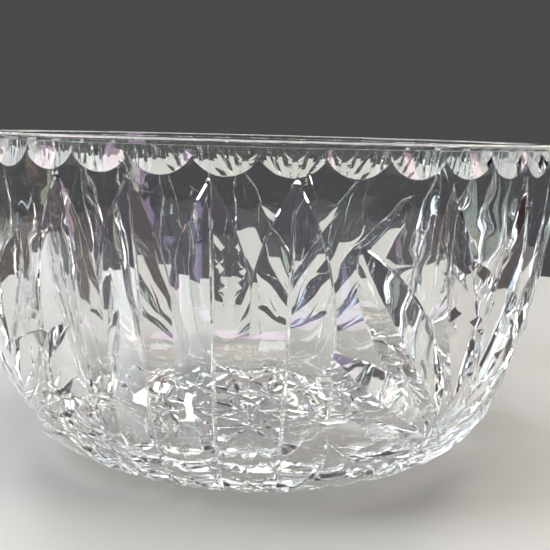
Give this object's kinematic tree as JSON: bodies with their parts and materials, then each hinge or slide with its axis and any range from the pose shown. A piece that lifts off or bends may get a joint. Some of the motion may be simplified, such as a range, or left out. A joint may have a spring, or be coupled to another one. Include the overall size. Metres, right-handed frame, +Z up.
{
  "type": "cut glass bowl",
  "caption": "Deep round serving bowl of clear cut glass, with thumbprints under the lip, upright pointed spears, leaf fans and a crossed diamond field. Stands on a flat foot.",
  "frame": {"origin": "centre of the flat foot, on the surface the bowl stands on", "axes": "+Z up, the bowl's turning axis; -Y is the side with the plain spears and one fan to its right"},
  "size_m": [0.1999, 0.1999, 0.104],
  "materials": {
    "clear_glass": "polished clear lead glass"
  },
  "bodies": {
    "root": {"glass_bowl": "clear_glass"}
  },
  "joints": []
}
